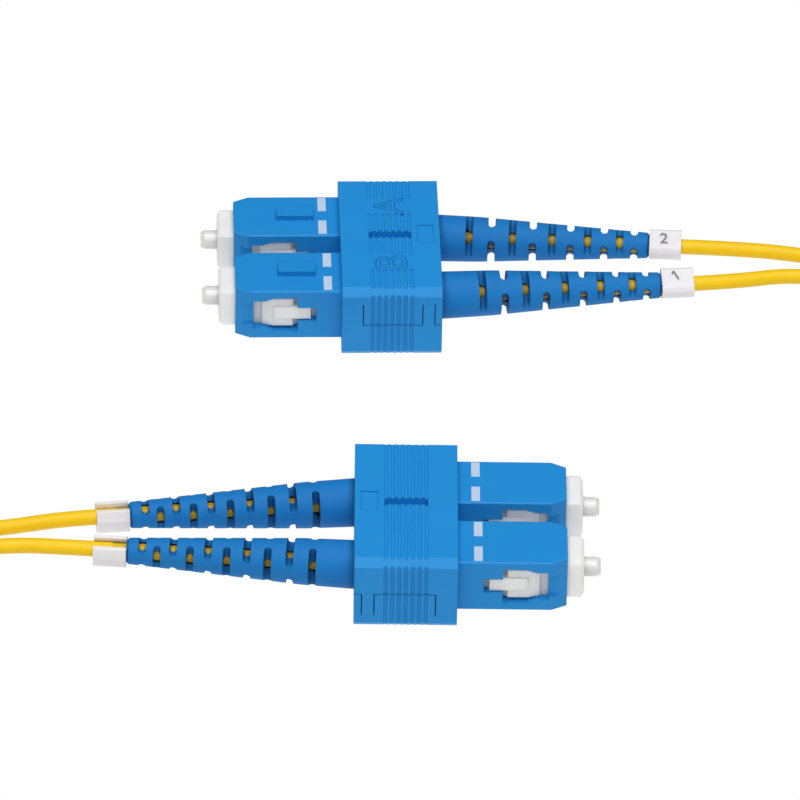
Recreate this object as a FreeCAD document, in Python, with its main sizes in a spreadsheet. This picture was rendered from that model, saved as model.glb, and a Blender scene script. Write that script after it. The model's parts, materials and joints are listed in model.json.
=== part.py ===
"""Duplex SC to SC fibre optic patch cable, both ends laid side by side, in millimetres.

Each connector is built about its own axis, with +X towards the nose, x = 0 at the rear face of the
duplex clip and its key towards +Z. End a lies behind with its noses towards -X and its keys up.
End b lies in front with its noses towards +X and its keys down. The floor is z = 0.
"""

import FreeCAD, Part
import math
import os
import re

import Sketcher
from FreeCAD import Placement, Rotation, Vector

SIZES = {
    # how the two ends lie
    "end_a_shift_along": 1.23,
    "end_a_shift_across": 29.31,
    "end_b_shift_along": 0.87,
    "end_b_shift_across": 29.49,
    "connector_pitch": 12.7,
    "end_turn_a": 1.67,
    # duplex clip
    "clip_length": 13.0,
    "clip_width": 26.1,
    "clip_height": 10.5,
    "clip_bevel": 1.0,
    "clip_rear_wall": 3.3,
    "clip_housing_clearance": 0.05,
    "clip_boot_clearance": 0.6,
    "clip_slot_length": 5.5,
    "clip_slot_width": 1.5,
    "clip_slot_depth": 1.2,
    "clip_mark_length": 2.15,
    "clip_mark_width": 4.1,
    "clip_mark_depth": 0.25,
    "clip_mark_setback": 0.8,
    "rib_pitch": 0.85,
    "rib_groove_width": 0.42,
    "rib_groove_depth": 0.2,
    "letter_pad_length": 6.3,
    "letter_pad_width": 3.4,
    "cover_side_height": 2.15,
    "cover_seam": 0.12,
    "cover_tab_length": 7.6,
    "cover_tab_setback": 2.6,
    "cover_tab_drop": 3.2,
    "cover_tab_thickness": 1.0,
    "cover_rear_wall": 0.9,
    # outer housing
    "housing_length": 23.5,
    "housing_width": 9.0,
    "housing_height": 7.4,
    "housing_edge_radius": 0.3,
    "housing_taper_length": 1.9,
    "housing_taper_depth": 1.0,
    "key_length": 4.8,
    "key_width": 2.1,
    "key_height": 0.8,
    "key_setback": 5.6,
    "window_setback": 2.6,
    "window_length": 5.5,
    "window_height": 3.9,
    "window_slope": 0.45,
    "track_length": 2.4,
    "track_height": 2.2,
    "channel_depth": 0.55,
    "channel_flare": 0.4,
    # plug frame
    "plug_length": 23.95,
    "plug_width": 6.0,
    "plug_height": 5.1,
    "plug_clearance": 0.15,
    "plug_bevel": 0.4,
    "nose_reach": 2.15,
    "nose_bore_radius": 1.95,
    "nose_bore_depth": 4.95,
    "plug_wall": 1.0,
    "spring_bore_radius": 2.05,
    "latch_groove_setback": 5.85,
    "latch_groove_length": 1.2,
    "latch_groove_depth": 0.4,
    "latch_ridge_length": 2.65,
    "latch_ridge_height": 3.4,
    "latch_ridge_proud": 0.85,
    "guide_rail_gap": 0.7,
    "guide_rail_proud": 1.05,
    "guide_rail_clearance": 0.15,
    # ferrule and its flange
    "ferrule_length": 10.5,
    "ferrule_radius": 1.25,
    "ferrule_reach": 2.1,
    "ferrule_bevel": 0.5,
    "ferrule_shank_relief": 0.2,
    "ferrule_wall_clearance": 0.15,
    "flange_length": 3.0,
    "flange_radius": 1.9,
    "flange_tail_length": 3.5,
    "flange_tail_radius": 1.1,
    # spring
    "spring_radius": 1.5,
    "spring_wire": 0.35,
    "spring_turns": 6.0,
    "spring_end_clearance": 0.1,
    # stop body and crimp ring
    "stop_insert": 6.0,
    "stop_clearance": 0.04,
    "stop_collar_length": 1.4,
    "stop_collar_radius": 2.55,
    "stop_barrel_length": 5.6,
    "stop_barrel_radius": 1.45,
    "crimp_clearance": 0.04,
    "crimp_wall": 0.31,
    "crimp_gap": 0.5,
    "crimp_overhang": 0.2,
    "crimp_neck_length": 1.0,
    "crimp_neck_clearance": 0.2,
    "crimp_neck_wall": 0.25,
    # boot
    "boot_insert": 2.1,
    "boot_collar_gap": 1.5,
    "boot_length": 29.4,
    "boot_root_radius": 3.1,
    "boot_shoulder": 7.1,
    "boot_shoulder_radius": 2.95,
    "boot_tail_radius": 1.68,
    "boot_root_bore": 2.35,
    "boot_root_depth": 4.6,
    "boot_funnel": 1.2,
    "boot_tail_clearance": 0.2,
    "boot_slot_first": 5.8,
    "boot_slot_pitch": 2.9,
    "boot_slot_shrink": 0.125,
    "boot_slot_width": 0.95,
    "boot_web_first": 0.95,
    "boot_web_shrink": 0.012,
    "boot_tail_bevel": 0.3,
    # how far each boot stands back from its deepest seat
    "boot_seat_a_near": 1.6,
    "boot_seat_a_far": 0.5,
    "boot_seat_b_near": 1.4,
    "boot_seat_b_far": 1.4,
    # how the boots lean in and turn on their crimps, in degrees
    "boot_lean_a_near": 4.1,
    "boot_lean_a_far": 4.0,
    "boot_lean_b_near": 4.6,
    "boot_lean_b_far": 6.6,
    "boot_turn_a": 52.0,
    "boot_turn_b": 0.0,
    # number marker
    "marker_length": 4.2,
    "marker_width": 3.6,
    "marker_face_width": 2.7,
    "marker_rise": 1.6,
    "marker_drop": 1.5,
    "marker_clearance": 0.05,
    "marker_slit": 1.3,
    "marker_turn_a_near": -25.0,
    "marker_turn_a_far": -25.0,
    "marker_turn_b_near": 16.0,
    "marker_turn_b_far": 0.0,
    # cable
    "cable_radius": 1.0,
    "fibre_radius": 0.45,
    "fibre_clearance": 0.06,
    "cable_joint_depth": 1.0,
}

RIB_GROOVES = 7
BOOT_SLOTS = 10
NOTCH_CORNER_SHARE = 0.3
ENDS = ("a", "b")
CONNECTOR_SIDE = {1: 1, 2: -1}
SIDE_NAMES = {1: "near", 2: "far"}

# places along a connector's axis, worked out from the sizes
HOUSING_REAR = "clip_rear_wall"
HOUSING_FRONT = f"({HOUSING_REAR} + housing_length)"
WINDOW_FRONT = f"({HOUSING_FRONT} - window_setback)"
WINDOW_REAR = f"({WINDOW_FRONT} - window_length)"
TRACK_REAR = f"({WINDOW_REAR} - track_length)"
NOSE = f"({HOUSING_FRONT} + nose_reach)"
PLUG_REAR = f"({NOSE} - plug_length)"
WALL_FRONT = f"({NOSE} - nose_bore_depth)"
FLANGE_FRONT = f"({WALL_FRONT} - plug_wall)"
FLANGE_REAR = f"({FLANGE_FRONT} - flange_length)"
FERRULE_TIP = f"({NOSE} + ferrule_reach)"
FERRULE_REAR = f"({FERRULE_TIP} - ferrule_length)"
STOP_FRONT = f"({PLUG_REAR} + stop_insert)"
COLLAR_REAR = f"({PLUG_REAR} - stop_collar_length)"
BARREL_REAR = f"({COLLAR_REAR} - stop_barrel_length)"
CRIMP_STEP = f"({BARREL_REAR} - crimp_overhang)"
JACKET_FRONT = f"({CRIMP_STEP} - crimp_overhang)"
FIBRE_REAR = f"({JACKET_FRONT} + fibre_clearance)"
# a boot is pushed on until it is in the clip's hole as far as the housing allows, or nears the collar
BOOT_FRONT = f"min(boot_insert; {COLLAR_REAR} - boot_collar_gap)"
BOOT_REAR = f"({BOOT_FRONT} - boot_length)"
JACKET_REAR = f"({BOOT_REAR} - marker_length + cable_joint_depth)"
SHANK_RADIUS = "(ferrule_radius - ferrule_shank_relief)"
CAVITY_HALF_WIDTH = "(plug_width / 2 + plug_clearance)"
CAVITY_HALF_HEIGHT = "(plug_height / 2 + plug_clearance)"
POCKET_HALF_WIDTH = "(housing_width / 2 + clip_housing_clearance)"
POCKET_HALF_HEIGHT = "(housing_height / 2 + clip_housing_clearance)"

# hand-chosen route of each cable leg between the runs that leave the two ends' markers
FIRST_RUN = 7.6
LAST_RUN = 6.0
ROUTES = {
    1: [
        (51.82, 28.81, 5.2),
        (59.22, 27.31, 4.9),
        (64.62, 22.51, 4.2),
        (67.22, 15.31, 3.2),
        (67.82, 1.91, 1.9),
        (67.72, -18.09, 1.05),
        (66.82, -42.09, 1.0),
        (66.22, -62.09, 1.0),
        (63.42, -72.39, 1.0),
        (57.42, -80.69, 1.0),
        (47.82, -85.09, 1.0),
        (27.82, -86.39, 1.0),
        (-0.18, -86.69, 1.0),
        (-28.18, -86.39, 1.0),
        (-48.18, -85.09, 1.0),
        (-57.78, -80.69, 1.0),
        (-63.78, -72.39, 1.0),
        (-66.38, -62.09, 1.05),
        (-67.18, -51.59, 1.6),
        (-65.88, -42.99, 2.9),
        (-61.78, -36.69, 4.1),
        (-55.68, -33.49, 4.9),
        (-48.18, -32.69, 5.2),
    ],
    2: [
        (51.82, 33.51, 5.2),
        (60.42, 31.21, 4.9),
        (66.62, 24.81, 4.2),
        (69.32, 15.91, 3.2),
        (69.92, 1.91, 1.9),
        (69.82, -18.09, 1.05),
        (68.92, -42.29, 1.0),
        (68.32, -62.49, 1.0),
        (65.32, -73.49, 1.0),
        (58.72, -82.39, 1.0),
        (48.32, -87.09, 1.0),
        (27.92, -88.49, 1.0),
        (-0.18, -88.79, 1.0),
        (-28.28, -88.49, 1.0),
        (-48.68, -87.09, 1.0),
        (-59.08, -82.39, 1.0),
        (-65.68, -73.49, 1.0),
        (-68.48, -62.39, 1.05),
        (-69.28, -51.29, 1.6),
        (-67.88, -41.69, 2.9),
        (-63.08, -34.09, 4.1),
        (-56.18, -30.09, 4.9),
        (-48.18, -28.69, 5.2),
    ],
}
ARC_SHARE = 0.45

doc = FreeCAD.newDocument("PatchCable")
sheet = doc.addObject("Spreadsheet::Sheet", "Sizes")
for row, (alias, number) in enumerate(SIZES.items(), start=1):
    sheet.set(f"A{row}", alias)
    sheet.set(f"B{row}", str(number))
    sheet.setAlias(f"B{row}", alias)
doc.recompute()


def sized(text):
    """The expression with each size's name pointing at its cell."""
    return re.sub(r"\b[a-z][a-z_]*\b(?!\()", r"Sizes.\g<0>", text)


def value(text):
    """The number that an expression of sizes gives now."""
    return float(sheet.evalExpression(sized(text)))


def point(pair):
    """A sketch point from a pair of expressions."""
    return Vector(value(pair[0]), value(pair[1]), 0)


def origin_feature(body, role):
    """One of a body's own origin planes or axes."""
    return next(f for f in body.Origin.OriginFeatures if f.Role == role)


def new_body(name):
    """An empty PartDesign body."""
    return doc.addObject("PartDesign::Body", name)


def new_sketch(body, plane, name, offset=None):
    """An empty sketch on one of the body's origin planes, moved along its normal by an expression."""
    sketch = body.newObject("Sketcher::SketchObject", name)
    sketch.AttachmentSupport = [(origin_feature(body, plane), "")]
    sketch.MapMode = "FlatFace"
    if offset:
        sketch.setExpression("AttachmentOffset.Base.z", sized(offset))
    return sketch


def pin(sketch, geometry, end, pair):
    """Holds one point of a sketch at a pair of expressions, measured from the sketch's origin."""
    at = point(pair)
    for kind, distance, text in (("DistanceX", at.x, pair[0]), ("DistanceY", at.y, pair[1])):
        index = sketch.addConstraint(Sketcher.Constraint(kind, -1, 1, geometry, end, distance))
        sketch.setExpression(f"Constraints[{index}]", sized(text))


def add_polygon(sketch, corners):
    """A closed outline of straight lines through corners given as pairs of expressions."""
    first = sketch.GeometryCount
    count = len(corners)
    for k in range(count):
        line = Part.LineSegment(point(corners[k]), point(corners[(k + 1) % count]))
        sketch.addGeometry(line, False)
    for k in range(count):
        after = first + (k + 1) % count
        sketch.addConstraint(Sketcher.Constraint("Coincident", first + k, 2, after, 1))
        pin(sketch, first + k, 1, corners[k])


def add_rectangle(sketch, left, right, low, high):
    """A closed rectangle between expressions."""
    add_polygon(sketch, [(left, low), (right, low), (right, high), (left, high)])


def add_circle(sketch, across, up, radius):
    """A circle about a centre given as expressions."""
    index = sketch.addGeometry(Part.Circle(point((across, up)), Vector(0, 0, 1), value(radius)), False)
    pin(sketch, index, 3, (across, up))
    bound = sketch.addConstraint(Sketcher.Constraint("Radius", index, value(radius)))
    sketch.setExpression(f"Constraints[{bound}]", sized(radius))


def add_notch(sketch, along, width, floor, top, side):
    """A notch open away from the sketch's horizontal axis, with the corners of its floor cut off."""
    left = f"({along} - {width} / 2)"
    right = f"({along} + {width} / 2)"
    corner = f"({width} * {NOTCH_CORNER_SHARE})"
    shoulder = f"({side} * ({floor} + {corner}))"
    bottom = f"({side} * {floor})"
    mouth = f"({side} * {top})"
    add_polygon(
        sketch,
        [
            (left, mouth),
            (left, shoulder),
            (f"({left} + {corner})", bottom),
            (f"({right} - {corner})", bottom),
            (right, shoulder),
            (right, mouth),
        ],
    )


def pad(body, sketch, length, symmetric=False, reversed_way=False):
    """A pad whose length is an expression."""
    feature = body.newObject("PartDesign::Pad", sketch.Name + "_pad")
    feature.Profile = sketch
    feature.SideType = "Symmetric" if symmetric else "One side"
    feature.Reversed = reversed_way
    feature.setExpression("Length", sized(length))
    doc.recompute()
    return feature


def pocket(body, sketch, length=None, symmetric=False, reversed_way=False):
    """A pocket of a given depth, or right through where no depth is given. It has to remove material."""
    before = body.Shape.Volume
    feature = body.newObject("PartDesign::Pocket", sketch.Name + "_cut")
    feature.Profile = sketch
    feature.SideType = "Symmetric" if symmetric else "One side"
    feature.Reversed = reversed_way
    if length:
        feature.setExpression("Length", sized(length))
    else:
        feature.Type = "ThroughAll"
    doc.recompute()
    if not body.Shape.Volume < before:
        raise RuntimeError(f"{feature.Name} cuts nothing")
    return feature


def mirror(body, feature, plane):
    """The feature again on the other side of one of the body's origin planes."""
    twin = body.newObject("PartDesign::Mirrored", feature.Name + "_twin")
    twin.Originals = [feature]
    twin.MirrorPlane = (origin_feature(body, plane), [""])
    body.Tip = twin
    doc.recompute()


def turned(name, corners):
    """A body turned about the X axis from a half profile of (along, radius) expressions."""
    body = new_body(name)
    sketch = new_sketch(body, "XZ_Plane", name + "_profile")
    add_polygon(sketch, corners)
    feature = body.newObject("PartDesign::Revolution", name + "_turned")
    feature.Profile = sketch
    feature.ReferenceAxis = (sketch, ["H_Axis"])
    feature.Angle = 360
    doc.recompute()
    return body


def bored(body, name, corners):
    """A stepped bore turned about the X axis out of a body."""
    before = body.Shape.Volume
    sketch = new_sketch(body, "XZ_Plane", name + "_profile")
    add_polygon(sketch, corners)
    feature = body.newObject("PartDesign::Groove", name)
    feature.Profile = sketch
    feature.ReferenceAxis = (sketch, ["H_Axis"])
    feature.Angle = 360
    doc.recompute()
    if not body.Shape.Volume < before:
        raise RuntimeError(f"{name} cuts nothing")


def edges_where(feature, test):
    """The names of a feature's straight edges whose two ends pass a test."""
    names = []
    for number, edge in enumerate(feature.Shape.Edges, start=1):
        ends = [vertex.Point for vertex in edge.Vertexes]
        if len(ends) == 2 and edge.Curve.TypeId == "Part::GeomLine" and test(*ends):
            names.append(f"Edge{number}")
    return names


def dress(body, kind, base, edges, size_property, size):
    """A fillet or chamfer of an expression's size on named edges."""
    feature = body.newObject(kind, base.Name + "_edges")
    feature.Base = (base, edges)
    feature.setExpression(size_property, sized(size))
    doc.recompute()
    return feature


def outer_housing():
    """The sliding outer housing: tapered front, key, latch windows with their guide tracks, channels."""
    body = new_body("OuterHousing")
    half = "housing_width / 2"
    plan = new_sketch(body, "XY_Plane", "HousingPlan")
    shoulder = f"({HOUSING_FRONT} - housing_taper_length)"
    lip = f"({half} - housing_taper_depth)"
    add_polygon(
        plan,
        [
            (HOUSING_REAR, f"-{half}"),
            (shoulder, f"-{half}"),
            (HOUSING_FRONT, f"-{lip}"),
            (HOUSING_FRONT, lip),
            (shoulder, half),
            (HOUSING_REAR, half),
        ],
    )
    block = pad(body, plan, "housing_height", symmetric=True)
    front = value(HOUSING_FRONT)
    long_edges = edges_where(
        block, lambda a, b: abs(a.z - b.z) < 1e-6 and abs(a.x - b.x) > 1 and min(a.x, b.x) < front
    )
    dress(body, "PartDesign::Fillet", block, long_edges, "Radius", "housing_edge_radius")
    cavity = new_sketch(body, "YZ_Plane", "HousingCavity")
    add_rectangle(
        cavity,
        f"-{CAVITY_HALF_WIDTH}",
        CAVITY_HALF_WIDTH,
        f"-{CAVITY_HALF_HEIGHT}",
        CAVITY_HALF_HEIGHT,
    )
    pocket(body, cavity, symmetric=True)
    window = new_sketch(body, "XZ_Plane", "LatchWindow")
    wide = "window_height / 2"
    narrow = "track_height / 2"
    slope = f"({WINDOW_FRONT} - window_length / 3)"
    neck = f"({wide} - window_slope)"
    add_polygon(
        window,
        [
            (TRACK_REAR, f"-{narrow}"),
            (WINDOW_REAR, f"-{narrow}"),
            (WINDOW_REAR, f"-{wide}"),
            (slope, f"-{wide}"),
            (WINDOW_FRONT, f"-{neck}"),
            (WINDOW_FRONT, neck),
            (slope, wide),
            (WINDOW_REAR, wide),
            (WINDOW_REAR, narrow),
            (TRACK_REAR, narrow),
        ],
    )
    pocket(body, window, symmetric=True)
    channel = new_sketch(body, "XZ_Plane", "LatchChannel", f"{half} - channel_depth")
    mouth = f"({neck} + channel_flare)"
    add_polygon(
        channel,
        [
            (WINDOW_FRONT, f"-{neck}"),
            (HOUSING_FRONT, f"-{mouth}"),
            (HOUSING_FRONT, mouth),
            (WINDOW_FRONT, neck),
        ],
    )
    mirror(body, pocket(body, channel, reversed_way=True), "XZ_Plane")
    key = new_sketch(body, "XY_Plane", "Key", "housing_height / 2")
    add_rectangle(
        key,
        f"({HOUSING_FRONT} - key_setback - key_length)",
        f"({HOUSING_FRONT} - key_setback)",
        "-key_width / 2",
        "key_width / 2",
    )
    pad(body, key, "key_height")
    return body


def plug_frame():
    """The inner plug: bevelled nose, latch ridges and grooves, guide rails, stepped bore."""
    body = new_body("PlugFrame")
    section = new_sketch(body, "YZ_Plane", "PlugSection", PLUG_REAR)
    add_rectangle(section, "-plug_width / 2", "plug_width / 2", "-plug_height / 2", "plug_height / 2")
    block = pad(body, section, "plug_length")
    nose = value(NOSE)
    rim = edges_where(block, lambda a, b: min(a.x, b.x) > nose - 1e-6)
    dress(body, "PartDesign::Chamfer", block, rim, "Size", "plug_bevel")
    ridge = new_sketch(body, "XZ_Plane", "LatchRidge")
    ridge_front = f"({NOSE} - latch_groove_setback - latch_groove_length)"
    add_rectangle(
        ridge,
        f"({ridge_front} - latch_ridge_length)",
        ridge_front,
        "-latch_ridge_height / 2",
        "latch_ridge_height / 2",
    )
    pad(body, ridge, "plug_width + 2 * latch_ridge_proud", symmetric=True)
    rail = new_sketch(body, "XZ_Plane", "GuideRail")
    rail_rear = f"({TRACK_REAR} + guide_rail_gap)"
    rail_half = "(track_height / 2 - guide_rail_clearance)"
    add_rectangle(rail, rail_rear, ridge_front, f"-{rail_half}", rail_half)
    pad(body, rail, "plug_width + 2 * guide_rail_proud", symmetric=True)
    groove = new_sketch(body, "XY_Plane", "LatchGroove")
    for side in (1, -1):
        add_rectangle(
            groove,
            ridge_front,
            f"({ridge_front} + latch_groove_length)",
            f"({side} * plug_width)",
            f"({side} * (plug_width / 2 - latch_groove_depth))",
        )
    pocket(body, groove, symmetric=True)
    hole = "(ferrule_radius + ferrule_wall_clearance)"
    bored(
        body,
        "PlugBore",
        [
            (PLUG_REAR, "0"),
            (NOSE, "0"),
            (NOSE, "nose_bore_radius"),
            (WALL_FRONT, "nose_bore_radius"),
            (WALL_FRONT, hole),
            (FLANGE_FRONT, hole),
            (FLANGE_FRONT, "spring_bore_radius"),
            (PLUG_REAR, "spring_bore_radius"),
        ],
    )
    return body


def ferrule():
    """The ceramic ferrule, with a bevelled tip and a relieved shank that sits in the flange."""
    bevel = f"({FERRULE_TIP} - ferrule_bevel)"
    return turned(
        "Ferrule",
        [
            (FERRULE_REAR, "0"),
            (FERRULE_TIP, "0"),
            (FERRULE_TIP, "(ferrule_radius - ferrule_bevel / 2)"),
            (bevel, "ferrule_radius"),
            (WALL_FRONT, "ferrule_radius"),
            (WALL_FRONT, SHANK_RADIUS),
            (FERRULE_REAR, SHANK_RADIUS),
        ],
    )


def ferrule_flange():
    """The metal flange that holds the ferrule's shank, with the tail that the spring slips over."""
    tail_rear = f"({FLANGE_REAR} - flange_tail_length)"
    fibre_hole = "(fibre_radius + fibre_clearance)"
    return turned(
        "FerruleFlange",
        [
            (tail_rear, fibre_hole),
            (FERRULE_REAR, fibre_hole),
            (FERRULE_REAR, SHANK_RADIUS),
            (FLANGE_FRONT, SHANK_RADIUS),
            (FLANGE_FRONT, "flange_radius"),
            (FLANGE_REAR, "flange_radius"),
            (FLANGE_REAR, "flange_tail_radius"),
            (tail_rear, "flange_tail_radius"),
        ],
    )


def coil_spring():
    """The compression spring behind the flange, wound about Z from square wire."""
    room = f"({FLANGE_REAR} - {STOP_FRONT} - spring_wire - 2 * spring_end_clearance)"
    helix = doc.addObject("Part::Helix", "SpringHelix")
    helix.setExpression("Radius", sized("spring_radius"))
    helix.setExpression("Height", sized(room))
    helix.setExpression("Pitch", sized(f"{room} / spring_turns"))
    wire = doc.addObject("Part::RegularPolygon", "SpringWire")
    wire.Polygon = 4
    wire.setExpression("Circumradius", sized("spring_wire / 2"))
    wire.Placement = Placement(Vector(), Rotation(Vector(1, 0, 0), 90))
    wire.setExpression("Placement.Base.x", sized("spring_radius"))
    spring = doc.addObject("Part::Sweep", "CoilSpring")
    spring.Sections = [wire]
    spring.Spine = (helix, ["Edge1"])
    spring.Solid = True
    spring.Frenet = True
    doc.recompute()
    return spring


def stop_body():
    """The stop body: spring seat inside the plug frame, collar behind it, barrel for the crimp."""
    hole = "(fibre_radius + 2 * fibre_clearance)"
    insert = "(spring_bore_radius - stop_clearance)"
    return turned(
        "StopBody",
        [
            (BARREL_REAR, hole),
            (STOP_FRONT, hole),
            (STOP_FRONT, insert),
            (PLUG_REAR, insert),
            (PLUG_REAR, "stop_collar_radius"),
            (COLLAR_REAR, "stop_collar_radius"),
            (COLLAR_REAR, "stop_barrel_radius"),
            (BARREL_REAR, "stop_barrel_radius"),
        ],
    )


def crimp_ring():
    """The stepped crimp ring: its wide part on the barrel, its neck round the cable jacket."""
    front = f"({COLLAR_REAR} - crimp_gap)"
    rear = f"({JACKET_FRONT} - crimp_neck_length)"
    step = f"({CRIMP_STEP} - crimp_wall)"
    inner = "(stop_barrel_radius + crimp_clearance)"
    neck = "(cable_radius + crimp_neck_clearance)"
    return turned(
        "CrimpRing",
        [
            (rear, neck),
            (CRIMP_STEP, neck),
            (CRIMP_STEP, inner),
            (front, inner),
            (front, f"({inner} + crimp_wall)"),
            (step, f"({inner} + crimp_wall)"),
            (step, f"({neck} + crimp_neck_wall)"),
            (rear, f"({neck} + crimp_neck_wall)"),
        ],
    )


def boot():
    """The tapered strain relief, notched from two opposite sides, each level a quarter turn on."""
    root_end = f"({BOOT_FRONT} - boot_root_depth)"
    funnel_end = f"({root_end} - boot_funnel)"
    bore = "(cable_radius + boot_tail_clearance)"
    body = turned(
        "Boot",
        [
            (BOOT_REAR, bore),
            (funnel_end, bore),
            (root_end, "boot_root_bore"),
            (BOOT_FRONT, "boot_root_bore"),
            (BOOT_FRONT, "boot_root_radius"),
            (f"({BOOT_FRONT} - boot_shoulder)", "boot_shoulder_radius"),
            (f"({BOOT_REAR} + boot_tail_bevel)", "boot_tail_radius"),
            (BOOT_REAR, "(boot_tail_radius - boot_tail_bevel)"),
        ],
    )
    for parity, plane in enumerate(("XY_Plane", "XZ_Plane")):
        notches = new_sketch(body, plane, f"BootNotches{parity}")
        for k in range(parity, BOOT_SLOTS, 2):
            shrunk = k * (k - 1) / 2
            setback = f"(boot_slot_first + {k} * boot_slot_pitch - {shrunk} * boot_slot_shrink)"
            along = f"({BOOT_FRONT} - {setback})"
            floor = f"(boot_web_first - {k} * boot_web_shrink)"
            for side in (1, -1):
                add_notch(notches, along, "boot_slot_width", floor, "(2 * boot_root_radius)", side)
        pocket(body, notches, symmetric=True)
    return body


def number_marker():
    """The clip-on number marker: a flat printed face, faceted flanks and a slit under the cable."""
    body = new_body("NumberMarker")
    section = new_sketch(body, "YZ_Plane", "MarkerSection", f"({BOOT_REAR} - marker_length)")
    face = "marker_face_width / 2"
    flank = "marker_width / 2"
    shoulder = f"(marker_rise - ({flank} - {face}))"
    foot = "(marker_slit / 2 + marker_drop - cable_radius)"
    add_polygon(
        section,
        [
            (f"-{foot}", "-marker_drop"),
            (foot, "-marker_drop"),
            (flank, f"-({flank} - {foot}) / 2"),
            (flank, shoulder),
            (face, "marker_rise"),
            (f"-{face}", "marker_rise"),
            (f"-{flank}", shoulder),
            (f"-{flank}", f"-({flank} - {foot}) / 2"),
        ],
    )
    pad(body, section, "marker_length")
    bore = new_sketch(body, "YZ_Plane", "MarkerBore")
    add_circle(bore, "0", "0", "(cable_radius + marker_clearance)")
    pocket(body, bore, symmetric=True)
    slit = new_sketch(body, "YZ_Plane", "MarkerSlit")
    add_rectangle(slit, "-marker_slit / 2", "marker_slit / 2", "-2 * marker_drop", "0")
    pocket(body, slit, symmetric=True)
    return body


def octagon(inset):
    """The clip's bevelled outline, set in from its flat faces but not from its bevels."""
    half_width = f"(clip_width / 2 - {inset})"
    half_height = f"(clip_height / 2 - {inset})"
    bevel = f"(clip_bevel - 2.1 * {inset})"
    corners = []
    for across, up in ((1, 1), (-1, 1), (-1, -1), (1, -1)):
        flat = (f"{across} * ({half_width} - {bevel})", f"{up} * {half_height}")
        side = (f"{across} * {half_width}", f"{up} * ({half_height} - {bevel})")
        corners += [side, flat] if across * up > 0 else [flat, side]
    return corners


def clip_block():
    """Both halves of the duplex clip as one: pockets, boot holes, grip ribs, slots and rear marks."""
    body = new_body("ClipBlock")
    outline = new_sketch(body, "YZ_Plane", "ClipOutline")
    add_polygon(outline, octagon("0"))
    pad(body, outline, "clip_length")
    half_height = "clip_height / 2"

    groove = new_sketch(
        body,
        "YZ_Plane",
        "RibGroove",
        f"clip_length / 2 - {(RIB_GROOVES - 1) / 2} * rib_pitch - rib_groove_width / 2",
    )
    add_rectangle(groove, "-clip_width", "clip_width", "-clip_height", "clip_height")
    add_polygon(groove, octagon("rib_groove_depth"))
    first = pocket(body, groove, "rib_groove_width", reversed_way=True)
    rows = body.newObject("PartDesign::LinearPattern", "RibGrooves")
    rows.Originals = [first]
    rows.Direction = (origin_feature(body, "X_Axis"), [""])
    rows.Occurrences = RIB_GROOVES
    rows.setExpression("Length", sized(f"{RIB_GROOVES - 1} * rib_pitch"))
    body.Tip = rows
    doc.recompute()

    pads = new_sketch(body, "XY_Plane", "LetterPads", f"{half_height} - rib_groove_depth")
    for side in CONNECTOR_SIDE.values():
        middle = f"({side} * connector_pitch / 2)"
        add_rectangle(
            pads,
            "(clip_length / 2 - letter_pad_length / 2)",
            "(clip_length / 2 + letter_pad_length / 2)",
            f"({middle} - letter_pad_width / 2)",
            f"({middle} + letter_pad_width / 2)",
        )
    pad(body, pads, "rib_groove_depth")

    pockets = new_sketch(body, "YZ_Plane", "HousingPockets", HOUSING_REAR)
    holes = new_sketch(body, "YZ_Plane", "BootHoles")
    for side in CONNECTOR_SIDE.values():
        middle = f"({side} * connector_pitch / 2)"
        add_rectangle(
            pockets,
            f"({middle} - {POCKET_HALF_WIDTH})",
            f"({middle} + {POCKET_HALF_WIDTH})",
            f"-{POCKET_HALF_HEIGHT}",
            POCKET_HALF_HEIGHT,
        )
        add_circle(holes, middle, "0", "(boot_root_radius + clip_boot_clearance)")
    pocket(body, pockets, reversed_way=True)
    pocket(body, holes, symmetric=True)

    for depth, name, left, length, width in (
        (
            "clip_slot_depth",
            "ClipSlot",
            "(clip_length / 2 - clip_slot_length / 2)",
            "clip_slot_length",
            "clip_slot_width",
        ),
        (
            "clip_mark_depth",
            "ClipMark",
            "clip_mark_setback",
            "clip_mark_length",
            "clip_mark_width",
        ),
    ):
        sketch = new_sketch(body, "XY_Plane", name, half_height)
        add_rectangle(sketch, left, f"({left} + {length})", f"-{width} / 2", f"{width} / 2")
        mirror(body, pocket(body, sketch, depth), "XY_Plane")
    return body


def cover_region(name, seam):
    """The space that the clip's key-side half takes: plate, rear wall and side tabs, grown by a seam."""
    body = new_body(name)
    top = "clip_height"
    parting = "(clip_height / 2 - cover_side_height)"
    tab_tip = f"({parting} - cover_tab_drop - {seam})"
    profile = new_sketch(body, "XZ_Plane", name + "Profile")
    add_polygon(
        profile,
        [
            ("-clip_length", tab_tip),
            (f"(cover_rear_wall + {seam})", tab_tip),
            (f"(cover_rear_wall + {seam})", parting),
            ("2 * clip_length", parting),
            ("2 * clip_length", top),
            ("-clip_length", top),
        ],
    )
    pad(body, profile, "2 * clip_width", symmetric=True)
    inside = f"clip_width / 2 - cover_tab_thickness - {seam}"
    tab = new_sketch(body, "XZ_Plane", name + "Tab", inside)
    add_rectangle(
        tab,
        f"(cover_tab_setback - {seam})",
        f"(cover_tab_setback + cover_tab_length + {seam})",
        tab_tip,
        top,
    )
    mirror(body, pad(body, tab, "clip_width / 4"), "XZ_Plane")
    return body


def clip_halves():
    """The cover, on the keys' side, and the base of the duplex clip."""
    block = clip_block()
    cover = doc.addObject("Part::Common", "ClipCover")
    cover.Base = block
    cover.Tool = cover_region("CoverRegion", "0")
    base = doc.addObject("Part::Cut", "ClipBase")
    base.Base = block
    base.Tool = cover_region("CoverRoom", "cover_seam")
    doc.recompute()
    return cover, base


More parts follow.
